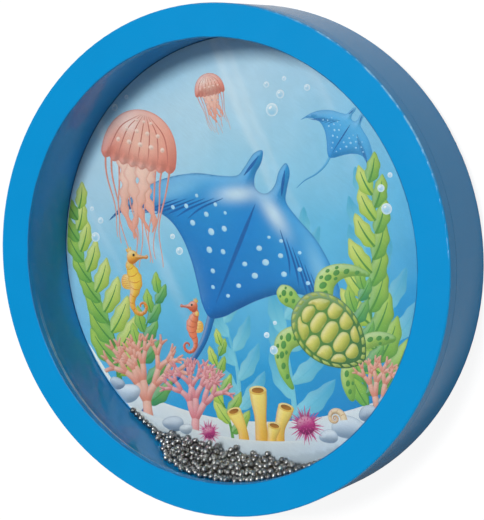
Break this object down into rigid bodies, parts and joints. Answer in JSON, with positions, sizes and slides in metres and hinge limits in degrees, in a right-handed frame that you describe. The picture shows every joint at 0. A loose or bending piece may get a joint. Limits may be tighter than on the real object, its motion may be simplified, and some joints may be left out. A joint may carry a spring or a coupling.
{
  "type": "ocean drum",
  "caption": "Shallow round wooden drum with a clear front window, a printed back and loose steel balls that run round inside with the sound of waves.",
  "frame": {"origin": "middle of the flat back, which the drum lies on", "axes": "+Z along the drum's axis, out through the window; -Y is the side of the rim that the balls have run to, the lower side in the picture; +X is the picture's right"},
  "size_m": [0.2, 0.2, 0.0355],
  "materials": {
    "blue_lacquer": "satin",
    "printed_card": "satin",
    "clear_sheet": "gloss",
    "ball_steel": "polished"
  },
  "bodies": {
    "drum": {"back_panel": "blue_lacquer", "picture_sheet": "printed_card", "hoop": "blue_lacquer", "window": "clear_sheet", "front_ring": "blue_lacquer"},
    "heap_middle": {"steel_balls_07": "ball_steel"},
    "heap_right_6": {"steel_balls_13": "ball_steel"},
    "heap_right_5": {"steel_balls_12": "ball_steel"},
    "heap_right_4": {"steel_balls_11": "ball_steel"},
    "heap_right_3": {"steel_balls_10": "ball_steel"},
    "heap_right_2": {"steel_balls_09": "ball_steel"},
    "heap_right_1": {"steel_balls_08": "ball_steel"},
    "heap_left_6": {"steel_balls_01": "ball_steel"},
    "heap_left_5": {"steel_balls_02": "ball_steel"},
    "heap_left_4": {"steel_balls_03": "ball_steel"},
    "heap_left_3": {"steel_balls_04": "ball_steel"},
    "heap_left_2": {"steel_balls_05": "ball_steel"},
    "heap_left_1": {"steel_balls_06": "ball_steel"}
  },
  "joints": [
    {"name": "heap_turn", "type": "hinge", "parent": "drum", "child": "heap_middle", "pos_m": [0, 0, 0.019], "axis": [0, 0, 1], "continuous": true},
    {"name": "heap_spread", "type": "hinge", "parent": "heap_middle", "child": "heap_right_6", "pos_m": [0, 0, 0.019], "axis": [0, 0, 1], "range_deg": [0, 96]},
    {"name": "spread_right_5", "type": "hinge", "parent": "heap_middle", "child": "heap_right_5", "pos_m": [0, 0, 0.019], "axis": [0, 0, 1], "range_deg": [0, 80]},
    {"name": "spread_right_4", "type": "hinge", "parent": "heap_middle", "child": "heap_right_4", "pos_m": [0, 0, 0.019], "axis": [0, 0, 1], "range_deg": [0, 64]},
    {"name": "spread_right_3", "type": "hinge", "parent": "heap_middle", "child": "heap_right_3", "pos_m": [0, 0, 0.019], "axis": [0, 0, 1], "range_deg": [0, 48]},
    {"name": "spread_right_2", "type": "hinge", "parent": "heap_middle", "child": "heap_right_2", "pos_m": [0, 0, 0.019], "axis": [0, 0, 1], "range_deg": [0, 32]},
    {"name": "spread_right_1", "type": "hinge", "parent": "heap_middle", "child": "heap_right_1", "pos_m": [0, 0, 0.019], "axis": [0, 0, 1], "range_deg": [0, 16]},
    {"name": "spread_left_6", "type": "hinge", "parent": "heap_middle", "child": "heap_left_6", "pos_m": [0, 0, 0.019], "axis": [0, 0, 1], "range_deg": [-96, 0]},
    {"name": "spread_left_5", "type": "hinge", "parent": "heap_middle", "child": "heap_left_5", "pos_m": [0, 0, 0.019], "axis": [0, 0, 1], "range_deg": [-80, 0]},
    {"name": "spread_left_4", "type": "hinge", "parent": "heap_middle", "child": "heap_left_4", "pos_m": [0, 0, 0.019], "axis": [0, 0, 1], "range_deg": [-64, 0]},
    {"name": "spread_left_3", "type": "hinge", "parent": "heap_middle", "child": "heap_left_3", "pos_m": [0, 0, 0.019], "axis": [0, 0, 1], "range_deg": [-48, 0]},
    {"name": "spread_left_2", "type": "hinge", "parent": "heap_middle", "child": "heap_left_2", "pos_m": [0, 0, 0.019], "axis": [0, 0, 1], "range_deg": [-32, 0]},
    {"name": "spread_left_1", "type": "hinge", "parent": "heap_middle", "child": "heap_left_1", "pos_m": [0, 0, 0.019], "axis": [0, 0, 1], "range_deg": [-16, 0]}
  ],
  "couplings": [
    {"joint": "spread_right_5", "follows": "heap_spread", "ratio": 0.83333},
    {"joint": "spread_right_4", "follows": "heap_spread", "ratio": 0.66667},
    {"joint": "spread_right_3", "follows": "heap_spread", "ratio": 0.5},
    {"joint": "spread_right_2", "follows": "heap_spread", "ratio": 0.33333},
    {"joint": "spread_right_1", "follows": "heap_spread", "ratio": 0.16667},
    {"joint": "spread_left_6", "follows": "heap_spread", "ratio": -1},
    {"joint": "spread_left_5", "follows": "heap_spread", "ratio": -0.83333},
    {"joint": "spread_left_4", "follows": "heap_spread", "ratio": -0.66667},
    {"joint": "spread_left_3", "follows": "heap_spread", "ratio": -0.5},
    {"joint": "spread_left_2", "follows": "heap_spread", "ratio": -0.33333},
    {"joint": "spread_left_1", "follows": "heap_spread", "ratio": -0.16667}
  ]
}
